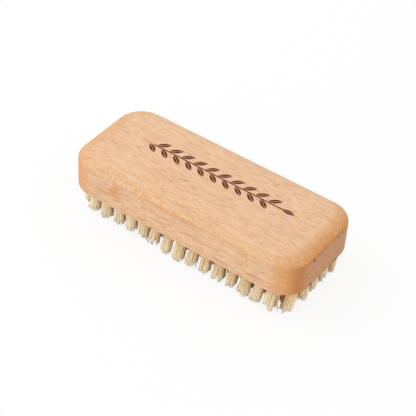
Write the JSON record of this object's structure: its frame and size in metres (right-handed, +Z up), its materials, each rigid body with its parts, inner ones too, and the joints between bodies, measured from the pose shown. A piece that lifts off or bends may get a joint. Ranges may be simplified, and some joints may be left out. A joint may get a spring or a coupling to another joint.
{
  "type": "nail brush",
  "caption": "Nail brush: an oblong wooden block with a rounded top edge and a finger groove in each long side, with short stiff fibre tufts held in blind holes by wire anchors.",
  "frame": {"origin": "under the middle of the block, on the plane of the bristle tips that the brush stands on", "axes": "+X along the block, +Y across it, +Z up from the bristle tips to the block's flat top"},
  "size_m": [0.095, 0.04, 0.023],
  "materials": {
    "beech": "oiled, sanded smooth",
    "fibre": "stiff plant fibre, cut level",
    "anchor_wire": "drawn flat wire"
  },
  "bodies": {
    "root": {"block": "beech", "tufts_column_01": "fibre", "tufts_column_02": "fibre", "tufts_column_03": "fibre", "tufts_column_04": "fibre", "tufts_column_05": "fibre", "tufts_column_06": "fibre", "tufts_column_07": "fibre", "tufts_column_08": "fibre", "tufts_column_09": "fibre", "tufts_column_10": "fibre", "tufts_column_11": "fibre", "tufts_column_12": "fibre", "tufts_column_13": "fibre", "tufts_column_14": "fibre", "tufts_column_15": "fibre", "tufts_column_16": "fibre", "tufts_column_17": "fibre", "anchors_column_01": "anchor_wire", "anchors_column_02": "anchor_wire", "anchors_column_03": "anchor_wire", "anchors_column_04": "anchor_wire", "anchors_column_05": "anchor_wire", "anchors_column_06": "anchor_wire", "anchors_column_07": "anchor_wire", "anchors_column_08": "anchor_wire", "anchors_column_09": "anchor_wire", "anchors_column_10": "anchor_wire", "anchors_column_11": "anchor_wire", "anchors_column_12": "anchor_wire", "anchors_column_13": "anchor_wire", "anchors_column_14": "anchor_wire", "anchors_column_15": "anchor_wire", "anchors_column_16": "anchor_wire", "anchors_column_17": "anchor_wire"}
  },
  "joints": []
}
